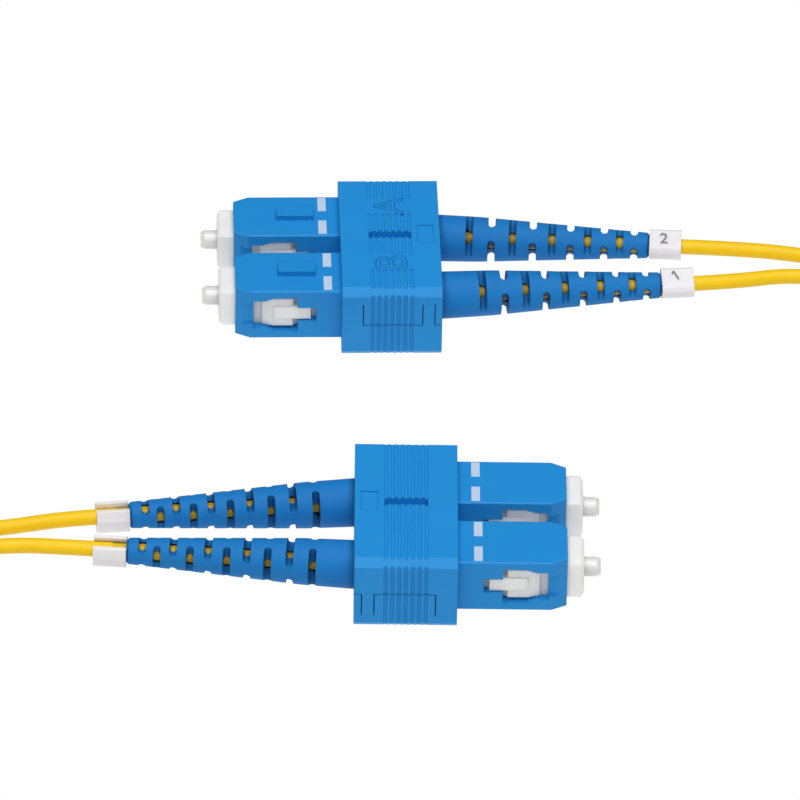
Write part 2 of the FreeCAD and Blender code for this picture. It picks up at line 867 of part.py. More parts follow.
def rod(name, radius, start, end):
    """A plain rod along Z with its length between two places on a connector's axis."""
    cylinder = doc.addObject("Part::Cylinder", name)
    cylinder.setExpression("Radius", sized(radius))
    cylinder.setExpression("Height", sized(f"({end} - {start})"))
    doc.recompute()
    return cylinder


def lying(along):
    """Turns a piece that was built along Z to the X axis, with its foot at a place on that axis."""
    return Placement(Vector(value(along), 0, 0), Rotation(Vector(0, 1, 0), 90))


def end_placement(end):
    """Where an end lies: end a with its noses towards -X, end b towards +X with its keys down."""
    along = value(f"end_{end}_shift_along")
    across = value(f"end_{end}_shift_across")
    up = value("clip_height") / 2
    if end == "a":
        way = Rotation(Vector(0, 0, 1), 180 + value("end_turn_a"))
        middle = Placement(Vector(-along, across, up), way)
    else:
        middle = Placement(Vector(along, -across, up), Rotation(Vector(1, 0, 0), 180))
    return middle * Placement(Vector(-value("clip_length") / 2, 0, 0), Rotation())


def connector_placement(end, number):
    """Where a connector lies: number 1 is the nearer one of its end."""
    across = CONNECTOR_SIDE[number] * value("connector_pitch") / 2
    return end_placement(end) * Placement(Vector(0, across, 0), Rotation())


def tail_placement(end, number):
    """Where the pieces behind a crimp lie, leaning in towards the other connector."""
    pivot = Vector(value(JACKET_FRONT), 0, 0)
    angle = CONNECTOR_SIDE[number] * value(f"boot_lean_{end}_{SIDE_NAMES[number]}")
    lean = Placement(Vector(), Rotation(Vector(0, 0, 1), angle), pivot)
    return connector_placement(end, number) * lean


def turn(angle):
    """A turn about a connector's axis, in degrees."""
    return Placement(Vector(), Rotation(Vector(1, 0, 0), angle))


nodes = []


def place(master, label, placement):
    """Places a piece as a sub-part of its own."""
    link = doc.addObject("App::Link", label)
    link.LinkedObject = master
    link.Label = label
    link.Placement = placement * master.Placement
    nodes.append(link)


def leg_route(number):
    """The points that one cable leg follows, from its joint in end a's marker to that in end b's."""
    joint = Vector(value(JACKET_REAR), 0, 0)
    start = tail_placement("a", number)
    finish = tail_placement("b", number)
    points = [start.multVec(joint), start.multVec(joint - Vector(FIRST_RUN, 0, 0))]
    points += [Vector(*place_chosen) for place_chosen in ROUTES[number]]
    points += [finish.multVec(joint - Vector(LAST_RUN, 0, 0)), finish.multVec(joint)]
    return points


def cable_leg(number):
    """One cable leg: a round tube along straight runs joined by arcs as large as the runs allow."""
    points = leg_route(number)
    radius = value("cable_radius")
    edges = []
    radii = []
    last = points[0]
    for before, corner, after in zip(points, points[1:], points[2:]):
        way_in = (corner - before).normalize()
        way_out = (after - corner).normalize()
        half_turn = way_in.getAngle(way_out) / 2
        reach = ARC_SHARE * min((corner - before).Length, (after - corner).Length)
        arc_radius = reach / math.tan(half_turn)
        towards = (way_out - way_in).normalize()
        middle = corner + towards * (arc_radius / math.cos(half_turn) - arc_radius)
        begin = corner - way_in * reach
        finish = corner + way_out * reach
        edges.append(Part.LineSegment(last, begin).toShape())
        edges.append(Part.Arc(begin, middle, finish).toShape())
        radii.append(arc_radius)
        last = finish
    edges.append(Part.LineSegment(last, points[-1]).toShape())
    path = Part.Wire(edges)
    ring = Part.Wire(Part.Circle(points[0], points[1] - points[0], radius).toShape())
    tube = path.makePipeShell([ring], True, False)
    expected = math.pi * radius**2 * path.Length
    print(
        f"leg {number}: length {path.Length:.1f}, radii {min(radii):.1f} to {max(radii):.1f},",
        f"volume {tube.Volume:.1f} of {expected:.1f}",
    )
    leg = doc.addObject("Part::Feature", f"cable_leg_{number}")
    leg.Shape = tube
    leg.Label = f"cable_leg_{number}"
    nodes.append(leg)


def main():
    """Builds every piece once, places it at each connector, and writes one file per sub-part."""
    connector_pieces = {
        "outer_housing": outer_housing(),
        "plug_frame": plug_frame(),
        "ferrule": ferrule(),
        "ferrule_flange": ferrule_flange(),
        "stop_body": stop_body(),
        "crimp_ring": crimp_ring(),
    }
    spring = coil_spring()
    fibre = rod("BufferedFibre", "fibre_radius", FIBRE_REAR, FERRULE_REAR)
    jacket = rod("CableEnd", "cable_radius", JACKET_REAR, JACKET_FRONT)
    strain_relief = boot()
    marker = number_marker()
    cover, base = clip_halves()
    spring_foot = f"({STOP_FRONT} + spring_wire / 2 + spring_end_clearance)"
    for end in ENDS:
        place(cover, f"clip_cover_{end}", end_placement(end))
        place(base, f"clip_base_{end}", end_placement(end))
        for number in CONNECTOR_SIDE:
            here = connector_placement(end, number)
            tail = tail_placement(end, number)
            name = f"{end}{number}"
            for piece, master in connector_pieces.items():
                place(master, f"{piece}_{name}", here)
            place(spring, f"spring_{name}", here * lying(spring_foot))
            place(fibre, f"buffered_fibre_{name}", here * lying(FIBRE_REAR))
            place(jacket, f"cable_end_{name}", tail * lying(JACKET_REAR))
            side = SIDE_NAMES[number]
            seat = tail * Placement(Vector(-value(f"boot_seat_{end}_{side}"), 0, 0), Rotation())
            place(strain_relief, f"boot_{name}", seat * turn(value(f"boot_turn_{end}")))
            place(marker, f"number_marker_{name}", seat * turn(value(f"marker_turn_{end}_{side}")))
    for number in CONNECTOR_SIDE:
        cable_leg(number)
    doc.recompute()

    for thing in doc.Objects:
        if "Invalid" in thing.State or "Error" in thing.State:
            raise RuntimeError(f"{thing.Label} failed: {thing.State}")
    os.makedirs("parts", exist_ok=True)
    for node in nodes:
        shape = Part.getShape(node)
        if shape.isNull() or not shape.isValid():
            raise RuntimeError(f"{node.Label} has no valid shape")
        if len(shape.Solids) != 1:
            raise RuntimeError(f"{node.Label} has {len(shape.Solids)} solids")
        shape.exportStep(f"parts/{node.Label}.step")
    print(f"{len(nodes)} sub-parts written")


main()
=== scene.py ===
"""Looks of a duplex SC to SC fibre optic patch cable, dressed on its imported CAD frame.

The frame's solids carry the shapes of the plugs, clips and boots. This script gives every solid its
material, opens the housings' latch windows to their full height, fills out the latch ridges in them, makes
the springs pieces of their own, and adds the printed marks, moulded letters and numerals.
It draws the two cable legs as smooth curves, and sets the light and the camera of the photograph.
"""

import json
import logging
import math
from dataclasses import dataclass, field, replace
from enum import Enum

import bmesh
import bpy
from mathutils import Matrix, Vector


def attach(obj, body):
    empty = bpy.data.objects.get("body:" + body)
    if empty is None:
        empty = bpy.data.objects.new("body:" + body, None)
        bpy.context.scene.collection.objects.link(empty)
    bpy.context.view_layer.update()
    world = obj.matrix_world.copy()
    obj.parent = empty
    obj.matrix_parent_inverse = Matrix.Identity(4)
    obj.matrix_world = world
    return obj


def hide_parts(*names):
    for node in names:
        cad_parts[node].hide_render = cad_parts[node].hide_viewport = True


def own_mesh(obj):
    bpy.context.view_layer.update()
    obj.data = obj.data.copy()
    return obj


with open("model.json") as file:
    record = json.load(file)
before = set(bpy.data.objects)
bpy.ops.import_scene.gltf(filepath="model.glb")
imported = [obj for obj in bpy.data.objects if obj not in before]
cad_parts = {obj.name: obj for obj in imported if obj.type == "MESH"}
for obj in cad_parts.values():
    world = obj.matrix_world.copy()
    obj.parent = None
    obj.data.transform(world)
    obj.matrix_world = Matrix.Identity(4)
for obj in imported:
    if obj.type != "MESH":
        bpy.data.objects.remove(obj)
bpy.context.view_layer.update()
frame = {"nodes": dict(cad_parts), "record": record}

log = logging.getLogger("patch_cable")

MM = 0.001
WELD = 0.0005 * MM
HALF_TURN = math.pi
QUARTER_TURN = math.pi / 2
BOTH_SIDES = (1, -1)
PLUG_NUMBERS = (1, 2)

IMAGE_SIZE = 800
SENSOR_WIDTH = 36.0

# the sRGB curve: a straight toe, then a power
SRGB_TOE = 0.04045
SRGB_TOE_SLOPE = 12.92
SRGB_OFFSET = 0.055
SRGB_POWER = 2.4

MOTTLE_DETAIL = 3.0
GRAIN_DETAIL = 2.0
GRAIN_DEPTH_SHARE = 0.2
EDGE_SAMPLES = 6
# samples of the painted shade that darkens the colour in nooks
PAINTED_SHADE_SAMPLES = 8
EVEN_GLOW = (1.0, 1.0, 1.0)

# a capital's height in the built-in font, as a share of the text's size
CAPITAL_SHARE = 0.73
# a numeral one with a flag, in shares of its height
ONE_OUTLINE = (
    (0.08, -0.45),
    (0.08, 0.45),
    (-0.03, 0.45),
    (-0.28, 0.28),
    (-0.28, 0.12),
    (-0.08, 0.24),
    (-0.08, -0.45),
)

NEAR_LEG_LENGTH = 0.327
FAR_LEG_LENGTH = 0.344
# the control points of each leg in mm, from the marker of end a to that of end b
NEAR_ROUTE_MM = (
    (51.82, 28.81, 5.2),
    (59.22, 27.31, 4.9),
    (64.62, 22.51, 4.2),
    (67.22, 15.31, 3.2),
    (67.82, 1.91, 1.9),
    (67.72, -18.09, 1.05),
    (66.82, -42.09, 1.0),
    (66.22, -62.09, 1.0),
    (63.42, -72.39, 1.0),
    (57.42, -80.69, 1.0),
    (47.82, -85.09, 1.0),
    (27.82, -86.39, 1.0),
    (-0.18, -86.69, 1.0),
    (-28.18, -86.39, 1.0),
    (-48.18, -85.09, 1.0),
    (-57.78, -80.69, 1.0),
    (-63.78, -72.39, 1.0),
    (-66.38, -62.09, 1.05),
    (-67.18, -51.59, 1.6),
    (-65.88, -42.99, 2.9),
    (-61.78, -36.69, 4.1),
    (-55.68, -33.49, 4.9),
    (-48.18, -32.69, 5.2),
)
FAR_ROUTE_MM = (
    (51.82, 33.51, 5.2),
    (60.42, 31.21, 4.9),
    (66.62, 24.81, 4.2),
    (69.32, 15.91, 3.2),
    (69.92, 1.91, 1.9),
    (69.82, -18.09, 1.05),
    (68.92, -42.29, 1.0),
    (68.32, -62.49, 1.0),
    (65.32, -73.49, 1.0),
    (58.72, -82.39, 1.0),
    (48.32, -87.09, 1.0),
    (27.92, -88.49, 1.0),
    (-0.18, -88.79, 1.0),
    (-28.28, -88.49, 1.0),
    (-48.68, -87.09, 1.0),
    (-59.08, -82.39, 1.0),
    (-65.68, -73.49, 1.0),
    (-68.48, -62.39, 1.05),
    (-69.28, -51.29, 1.6),
    (-67.88, -41.69, 2.9),
    (-63.08, -34.09, 4.1),
    (-56.18, -30.09, 4.9),
    (-48.18, -28.69, 5.2),
)


class End(Enum):
    """The two ends of the cable: A lies behind with its keys up, B in front with its keys down."""

    A = "a"
    B = "b"


class Face(Enum):
    """The two broad faces of a plug, by the way they point from its axis."""

    KEYED = 1
    PLAIN = -1


def linear(colour: str) -> tuple[float, float, float, float]:
    """Turns an sRGB hex colour to linear light.

    Args:
        colour: Six hex digits, such as "2A86CB".

    Returns:
        Red, green and blue in linear light, with an alpha of 1.
    """
    parts = []
    for byte in bytes.fromhex(colour):
        level = byte / 255
        if level <= SRGB_TOE:
            parts.append(level / SRGB_TOE_SLOPE)
        else:
            parts.append(((level + SRGB_OFFSET) / (1 + SRGB_OFFSET)) ** SRGB_POWER)
    return (*parts, 1.0)


def turned(angle: float, axis: str) -> Matrix:
    """Makes the matrix of a turn.

    Args:
        angle: The angle in radians.
        axis: "X", "Y" or "Z".

    Returns:
        The turn as a 4 by 4 matrix.
    """
    return Matrix.Rotation(angle, 4, axis)


def add_node(tree: bpy.types.NodeTree, kind: str, inputs: dict | None = None, **settings) -> bpy.types.Node:
    """Adds one node with its settings, constant inputs and links.

    Args:
        tree: The node tree that gets the node.
        kind: The node's type name.
        inputs: Values by socket name or number; an output socket there is linked instead of set.
        settings: Attributes to set on the node.

    Returns:
        The new node.
    """
    node = tree.nodes.new(kind)
    for name, setting in settings.items():
        setattr(node, name, setting)
    for key, value in (inputs or {}).items():
        if isinstance(value, bpy.types.NodeSocket):
            tree.links.new(value, node.inputs[key])
        else:
            node.inputs[key].default_value = value
    return node


@dataclass(frozen=True)
class Finish:
    """A material: what it is, how its surface was made, and what that gives the eye."""

    name: str
    colour: str
    shade: str
    roughness: float
    grain_mm: float
    bump: float
    mottle_mm: float = 6.0
    edge_mm: float = 0.0
    roughness_spread: float = 0.06
    metallic: float = 0.0
    ior: float = 1.5
    specular: float = 0.5
    translucency: float = 0.0
    glow_mm: float = 0.5
    stretch: tuple[float, float, float] = (1.0, 1.0, 1.0)
    # painted shade: the darker colour laid into nooks, and how far it reaches
    nook_colour: str = ""
    nook_mm: float = 1.2

    def tint(self, tree: bpy.types.NodeTree, place: bpy.types.NodeSocket) -> bpy.types.NodeSocket:
        """Adds the colour: two near tones, mottled, and painted shade, a darker colour down in the nooks, if
        it has one.

        Args:
            tree: The material's node tree.
            place: The coordinates of the surface.

        Returns:
            The socket that gives the colour.
        """
        mottle = add_node(
            tree,
            "ShaderNodeTexNoise",
            {"Vector": place, "Scale": 1 / (self.mottle_mm * MM), "Detail": MOTTLE_DETAIL},
        )
        tones = add_node(
            tree,
            "ShaderNodeMix",
            {"Factor": mottle.outputs["Fac"], "A": linear(self.shade), "B": linear(self.colour)},
            data_type="RGBA",
        )
        if not self.nook_colour:
            return tones.outputs["Result"]
        # painted shade: ambient occlusion mixes in the darker colour where the surface is hemmed in
        painted_shade_mask = add_node(
            tree, "ShaderNodeAmbientOcclusion", {"Distance": self.nook_mm * MM}, samples=PAINTED_SHADE_SAMPLES
        )
        shaded = add_node(
            tree,
            "ShaderNodeMix",
            {"Factor": painted_shade_mask.outputs["AO"], "A": linear(self.nook_colour), "B": tones.outputs["Result"]},
            data_type="RGBA",
        )
        return shaded.outputs["Result"]

    def relief(self, tree: bpy.types.NodeTree, grain: bpy.types.NodeSocket) -> bpy.types.NodeSocket:
        """Adds the surface's small relief: its grain, over edges that are a little rounded.

        Args:
            tree: The material's node tree.
            grain: The height of the grain.

        Returns:
            The socket that gives the normal.
        """
        inputs = {
            "Height": grain,
            "Strength": self.bump,
            "Distance": self.grain_mm * MM * GRAIN_DEPTH_SHARE,
        }
        if self.edge_mm:
            rounded = add_node(
                tree, "ShaderNodeBevel", {"Radius": self.edge_mm * MM}, samples=EDGE_SAMPLES
            )
            inputs["Normal"] = rounded.outputs["Normal"]
        return add_node(tree, "ShaderNodeBump", inputs).outputs["Normal"]

    def material(self) -> bpy.types.Material:
        """Builds the finish's node material, the first time that it is asked for.

        Returns:
            The material.
        """
        made = bpy.data.materials.get(self.name)
        if made:
            return made
        made = bpy.data.materials.new(self.name)
        made.use_nodes = True
        tree = made.node_tree
        tree.nodes.clear()
        place = add_node(tree, "ShaderNodeTexCoord").outputs["Object"]
        stretched = add_node(tree, "ShaderNodeMapping", {"Vector": place, "Scale": self.stretch})
        grain = add_node(
            tree,
            "ShaderNodeTexNoise",
            {
                "Vector": stretched.outputs["Vector"],
                "Scale": 1 / (self.grain_mm * MM),
                "Detail": GRAIN_DETAIL,
            },
        )
        sheen = add_node(
            tree,
            "ShaderNodeMapRange",
            {
                "Value": grain.outputs["Fac"],
                "To Min": self.roughness - self.roughness_spread,
                "To Max": self.roughness + self.roughness_spread,
            },
        )
        shader = add_node(
            tree,
            "ShaderNodeBsdfPrincipled",
            {
                "Base Color": self.tint(tree, place),
                "Roughness": sheen.outputs["Result"],
                "Metallic": self.metallic,
                "IOR": self.ior,
                "Specular IOR Level": self.specular,
                "Subsurface Weight": self.translucency,
                "Subsurface Radius": EVEN_GLOW,
                "Subsurface Scale": self.glow_mm * MM,
                "Normal": self.relief(tree, grain.outputs["Fac"]),
            },
        )
        add_node(tree, "ShaderNodeOutputMaterial", {"Surface": shader.outputs["BSDF"]})
        return made


# The etch of a mould is finer than a pixel of the render, so the grain of the moulded plastics is drawn
# coarser than it is, at about 0.3 mm, where it just shows.

# Moulded PBT: dense, even colour with a satin skin, so broad faces look soft and edges catch a line.
HOUSING_PBT = Finish(
    "housing_pbt_moulded", "208BD2", "1B86CD",
    roughness=0.42, grain_mm=0.25, bump=0.05, edge_mm=0.12, specular=0.2,
)
# Moulded ABS: the same blue a little lighter and flatter, from a finely etched mould.
CLIP_ABS = Finish(
    "clip_abs_moulded", "208DD5", "1B88D0",
    roughness=0.45, grain_mm=0.3, bump=0.08, edge_mm=0.12, specular=0.2,
)
# The same ABS on the raised letters, with sharper edges and a darker colour: painted shade for the thin
# shade round each stroke.
LETTER_ABS_PAINTED_SHADE = replace(CLIP_ABS, name="letter_abs_painted_shade", colour="1672BA", shade="126CB4", edge_mm=0.0)
# Moulded thermoplastic elastomer: a matt, slightly dusty blue with a fine grain, and painted shade that
# darkens it down in the notches.
BOOT_TPE = Finish(
    "boot_tpe_moulded", "1A78BF", "1672B9",
    roughness=0.6, grain_mm=0.35, bump=0.12, edge_mm=0.08, specular=0.15, nook_colour="0A2B4C",
)
# Moulded white PBT: bright and faintly see-through at thin edges.
PLUG_PBT = Finish(
    "plug_white_pbt_moulded", "F2F2F0", "EBEBE9",
    roughness=0.4, grain_mm=0.3, bump=0.05, edge_mm=0.2, translucency=0.6, glow_mm=1.2,
)
# Ground and polished zirconia: a dense cream white with a narrow highlight, and light that soaks in a
# little way, which softens its shaded side.
FERRULE_ZIRCONIA = Finish(
    "ferrule_zirconia_polished", "DCDBD8", "D6D5D1",
    roughness=0.24, grain_mm=0.2, bump=0.02, edge_mm=0.06, roughness_spread=0.03,
    ior=2.1, specular=0.2, translucency=0.8, glow_mm=1.5,
)
# Turned stainless steel: fine rings round the axis break the highlight up.
FLANGE_STEEL = Finish(
    "flange_stainless_turned", "C2C5C8", "B2B5B9",
    roughness=0.3, grain_mm=0.08, bump=0.15, metallic=1.0, stretch=(6.0, 1.0, 1.0),
)
# Drawn spring wire: a dull grey steel with a fine, faint grain.
SPRING_STEEL = Finish(
    "spring_steel_drawn", "A7AAAE", "989BA0", roughness=0.35, grain_mm=0.1, bump=0.1, metallic=1.0
)
# Nickel-plated brass: a warm grey metal, brighter than steel, with the turned rings under the plating.
STOP_NICKEL = Finish(
    "stop_brass_nickel_plated", "CFCBC1", "C3BEB2",
    roughness=0.28, grain_mm=0.1, bump=0.1, metallic=1.0, stretch=(5.0, 1.0, 1.0),
)
# Crimped soft brass: pale gold with shallow dents from the crimp.
CRIMP_BRASS = Finish(
    "crimp_brass_pressed", "CDB98A", "BBA676", roughness=0.38, grain_mm=0.5, bump=0.3, metallic=1.0
)
# Moulded matt polyamide: white, chalky beside the plug, and light passes through its thin walls.
MARKER_PA = Finish(
    "marker_polyamide_moulded", "EAE8EA", "E4E2E4",
    roughness=0.55, grain_mm=0.3, bump=0.08, edge_mm=0.08, translucency=0.7, glow_mm=1.0,
)
# Extruded buffer on the fibre: an off-white, smooth plastic.
BUFFER_PVC = Finish(
    "fibre_buffer_extruded", "F4F1E6", "EDE9DC", roughness=0.45, grain_mm=0.4, bump=0.05
)
# Extruded PVC jacket: deep yellow and smooth, with a soft sheen and hardly any grain.
JACKET_PVC = Finish(
    "cable_jacket_pvc_extruded", "F3C908", "EFC204",
    roughness=0.42, grain_mm=0.5, bump=0.015, roughness_spread=0.04, specular=0.25, translucency=0.08,
)
# The same jacket inside a boot, with painted shade: brown at the sides of each notch, where little light
# comes in.
JACKET_PVC_PAINTED_SHADE = replace(
    JACKET_PVC, name="cable_jacket_pvc_painted_shade_in_boot", nook_colour="5A4A10", nook_mm=2.2
)
# Pad-printed ink: a thin pale film that lets a little of the blue below through.
PRINT_INK = Finish(
    "print_ink_pale", "C3D3E8", "AFC5DF", roughness=0.55, grain_mm=0.2, bump=0.1, mottle_mm=1.2
)
# Grey numeral ink, printed on the marker: matt, and a little uneven.
NUMERAL_INK = Finish(
    "numeral_ink_grey", "7C7D80", "727376", roughness=0.6, grain_mm=0.2, bump=0.05, mottle_mm=1.0
)
# Silica fibre at the polished end face: a dark, clear speck.
FIBRE_CORE = Finish(
    "fibre_end_polished_silica", "3A3C40", "2E3034",
    roughness=0.08, grain_mm=0.1, bump=0.0, mottle_mm=0.5, ior=1.46,
)

SLOT_FINISHES: dict[str, Finish] = {
    "housing_plastic": HOUSING_PBT,
    "clip_plastic": CLIP_ABS,
    "plug_plastic": PLUG_PBT,
    "ferrule_ceramic": FERRULE_ZIRCONIA,
    "flange_metal": FLANGE_STEEL,
    "spring_steel": SPRING_STEEL,
    "stop_metal": STOP_NICKEL,
    "crimp_metal": CRIMP_BRASS,
    "boot_rubber": BOOT_TPE,
    "marker_plastic": MARKER_PA,
    "fibre_buffer": BUFFER_PVC,
    "cable_jacket": JACKET_PVC,
}


def dress_frame() -> None:
    """Gives every CAD node the finish of its material slot, with painted shade on the jacket inside the
    boots.
    """
    for entry in frame["record"]["subparts"]:
        node = frame["nodes"][entry["node"]]
        finish = SLOT_FINISHES[entry["material_slot"]]
        # the jacket inside the boots gets painted shade in its notches
        if entry["node"].startswith("cable_end"):
            finish = JACKET_PVC_PAINTED_SHADE
        for slot in node.material_slots:
            slot.link = "OBJECT"
            slot.material = finish.material()


def link_object(name: str, data: bpy.types.ID) -> bpy.types.Object:
    """Adds an object to the scene.

    Args:
        name: The object's name.
        data: Its mesh, curve, light or camera.

    Returns:
        The new object.
    """
    made = bpy.data.objects.new(name, data)
    bpy.context.scene.collection.objects.link(made)
    return made


def mesh_from(grid: bmesh.types.BMesh, name: str) -> bpy.types.Mesh:
    """Turns a built grid to a mesh and frees the grid.

    Args:
        grid: The grid.
        name: The mesh's name.

    Returns:
        The new mesh.
    """
    mesh = bpy.data.meshes.new(name)
    grid.to_mesh(mesh)
    grid.free()
    return mesh


def mesh_of_object(holder: bpy.types.Object) -> bpy.types.Mesh:
    """Takes the mesh that an object shows, with its modifiers or its curve worked out, and removes it.

    Args:
        holder: The object, which is of no more use afterwards.

    Returns:
        The mesh.
    """
    bpy.context.view_layer.update()
    graph = bpy.context.evaluated_depsgraph_get()
    mesh = bpy.data.meshes.new_from_object(holder.evaluated_get(graph))
    bpy.data.objects.remove(holder)
    return mesh


def add_piece(name: str, mesh: bpy.types.Mesh, finish: Finish, body: str) -> bpy.types.Object:
    """Adds a mesh as a piece that rides on a body.

    Args:
        name: The piece's name.
        mesh: Its mesh, in the row's frame.
        finish: Its material.
        body: The body that carries it.

    Returns:
        The new object.
    """
    piece = link_object(name, mesh)
    mesh.materials.clear()
    mesh.materials.append(finish.material())
    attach(piece, body)
    log.info("added %s on %s", name, body)
    return piece


def flat_shape(
    outline: tuple[tuple[float, float], ...], height: float, thickness: float, where: Matrix
) -> bpy.types.Mesh:
    """Makes a thin plate of an outline, lying in the XY plane of a frame.

    Args:
        outline: Its corners in order, in shares of the height.
        height: What the shares are of.
        thickness: How far it stands out.
        where: Its frame in the row's frame.

    Returns:
        The mesh, in the row's frame.
    """
    grid = bmesh.new()
    corners = [grid.verts.new((x * height, y * height, 0)) for x, y in outline]
    base = grid.faces.new(corners)
    raised = bmesh.ops.extrude_face_region(grid, geom=[base])["geom"]
    top = [item for item in raised if isinstance(item, bmesh.types.BMVert)]
    bmesh.ops.translate(grid, vec=(0, 0, thickness), verts=top)
    bmesh.ops.recalc_face_normals(grid, faces=grid.faces)
    mesh = mesh_from(grid, "flat_shape")
    mesh.transform(where)
    return mesh


def lettering(
    text: str, height: float, thickness: float, where: Matrix, stroke: float = 0.0, weight: float = 0.0
) -> bpy.types.Mesh:
    """Makes a mesh of a letter or numeral, lying in the XY plane of a frame.

    Args:
        text: What it says.
        height: Height of a capital.
        thickness: How far it stands out.
        where: Its frame: the text reads along +X with its top towards +Y.
        stroke: Half width of an outline; a filled letter where it is 0.
        weight: How far a filled letter's outline is moved out, to make it bolder.

    Returns:
        The mesh, in the row's frame.
    """
    curve = bpy.data.curves.new(f"text_{text}", "FONT")
    curve.body = text
    curve.size = height / CAPITAL_SHARE
    curve.align_x = "CENTER"
    curve.align_y = "CENTER"
    if stroke:
        curve.fill_mode = "NONE"
        curve.bevel_depth = stroke
        curve.bevel_resolution = 1
    else:
        curve.extrude = thickness
        curve.offset = weight
    mesh = mesh_of_object(link_object(curve.name, curve))
    bpy.data.curves.remove(curve)
    low = [min(v.co[k] for v in mesh.vertices) for k in range(2)]
    high = [max(v.co[k] for v in mesh.vertices) for k in range(2)]
    centre = Vector(((low[0] + high[0]) / 2, (low[1] + high[1]) / 2, 0))
    mesh.transform(where @ Matrix.Translation(-centre))
    return mesh


@dataclass
class Plug:
    """One plug of an end: its place, its latch, its spring, and the prints that lie on it.

    The latch's stations are how far along, how far out and half how tall. The window's outline is how far
    along and half how tall, and its walls are the depths between which it is cut.
    """

    end: End
    number: int
    pitch: float = 12.7 * MM
    clip_length: float = 13.0 * MM
    clip_middle_mm: dict[End, tuple[float, float, float]] = field(
        default_factory=lambda: {End.A: (-1.23, 29.31, 5.25), End.B: (0.87, -29.49, 5.25)}
    )
    turn_degrees: float = 1.67
    housing_half_height: float = 3.7 * MM
    mark_middle_mm: dict[str, float] = field(
        default_factory=lambda: {"a1": 14.8, "a2": 15.2, "b1": 15.58, "b2": 15.3}
    )
    mark_length: float = 1.08 * MM
    mark_width: float = 3.05 * MM
    mark_offset: float = 2.6 * MM
    mark_thickness: float = 0.02 * MM
    latch_foot: float = 2.9 * MM
    latch_stations_mm: tuple[tuple[float, float, float], ...] = (
        (19.27, 3.87, 2.1),
        (21.9, 3.87, 2.1),
        (23.4, 3.5, 2.05),
    )
    window_outline_mm: tuple[tuple[float, float], ...] = (
        (18.75, 2.65),
        (21.6, 2.65),
        (22.9, 2.17),
        (24.45, 2.17),
    )
    window_walls_mm: tuple[float, float] = (3.1, 5.0)
    ferrule_tip: float = 31.05 * MM
    ferrule_travel: float = 1.0 * MM
    fibre_radius: float = 0.0625 * MM
    fibre_segments: int = 24
    pivot_along: float = -2.4 * MM
    lean_degrees: dict[str, float] = field(
        default_factory=lambda: {"a1": 4.1, "a2": 4.0, "b1": 4.6, "b2": 6.6}
    )
    boot_seat_mm: dict[str, float] = field(
        default_factory=lambda: {"a1": 1.6, "a2": 0.5, "b1": 1.4, "b2": 1.4}
    )
    marker_middle: float = -29.4 * MM
    marker_face: float = 1.6 * MM
    marker_turn_degrees: dict[str, float] = field(
        default_factory=lambda: {"a1": -25.0, "a2": -25.0, "b1": 16.0, "b2": 0.0}
    )
    numeral_height: float = 1.6 * MM
    numeral_weight: float = 0.03 * MM
    numeral_thickness: float = 0.012 * MM
    numeral_shift: float = 0.2 * MM
    numeral_across_mm: dict[str, float] = field(
        default_factory=lambda: {"a1": -0.5, "a2": -0.25, "b1": 0.0, "b2": 0.0}
    )
    numeral_lean_degrees: dict[str, float] = field(
        default_factory=lambda: {"a1": 25.0, "a2": 0.0, "b1": 0.0, "b2": 0.0}
    )

    @property
    def side(self) -> int:
        """Which side of its clip's middle the plug is on."""
        return 1 if self.number == 1 else -1

    @property
    def name(self) -> str:
        """The plug's short name, as in the CAD nodes."""
        return f"{self.end.value}{self.number}"

    @property
    def grip(self) -> str:
        """The body of the plug's housing and clip."""
        return f"grip_{self.end.value}"

    def axis(self) -> Matrix:
        """Works out the plug's own frame: +X to the nose, +Z to the key.

        Returns:
            The frame's matrix in the row's frame.
        """
        middle = Matrix.Translation(Vector(self.clip_middle_mm[self.end]) * MM)
        if self.end is End.A:
            way = turned(HALF_TURN + math.radians(self.turn_degrees), "Z")
        else:
            way = turned(HALF_TURN, "X")
        return middle @ way @ Matrix.Translation((-self.clip_length / 2, self.side * self.pitch / 2, 0))

    def tail(self) -> Matrix:
        """Works out the frame of what leans in behind the crimp.

        Returns:
            The frame's matrix in the row's frame.
        """
        pivot = Vector((self.pivot_along, 0, 0))
        lean = turned(math.radians(self.side * self.lean_degrees[self.name]), "Z")
        return self.axis() @ Matrix.Translation(pivot) @ lean @ Matrix.Translation(-pivot)

    def print_marks(self) -> None:
        """Prints the two pale bars that lie across each broad face of the housing."""
        grid = bmesh.new()
        along = self.mark_middle_mm[self.name] * MM
        size = Matrix.Diagonal((self.mark_length, self.mark_width, self.mark_thickness, 1))
        for face in Face:
            height = face.value * (self.housing_half_height + self.mark_thickness / 2)
            for across in (-self.mark_offset, self.mark_offset):
                place = Matrix.Translation((along, across, height))
                bmesh.ops.create_cube(grid, size=1.0, matrix=self.axis() @ place @ size)
        mesh = mesh_from(grid, f"print_marks_{self.name}")
        add_piece(mesh.name, mesh, PRINT_INK, self.grip)

    def mould_latch_ridges(self) -> None:
        """Fills out each latch ridge, with the slope ahead of it up which an adapter's hooks slide."""
        grid = bmesh.new()
        for side in BOTH_SIDES:
            corners = [
                grid.verts.new((along * MM, side * across, height * half * MM))
                for along, proud, half in self.latch_stations_mm
                for across in (self.latch_foot, proud * MM)
                for height in (-1, 1)
            ]
            bmesh.ops.convex_hull(grid, input=corners)
        bmesh.ops.recalc_face_normals(grid, faces=grid.faces)
        mesh = mesh_from(grid, f"latch_ridges_{self.name}")
        mesh.transform(self.axis())
        add_piece(mesh.name, mesh, PLUG_PBT, "cable_assembly")

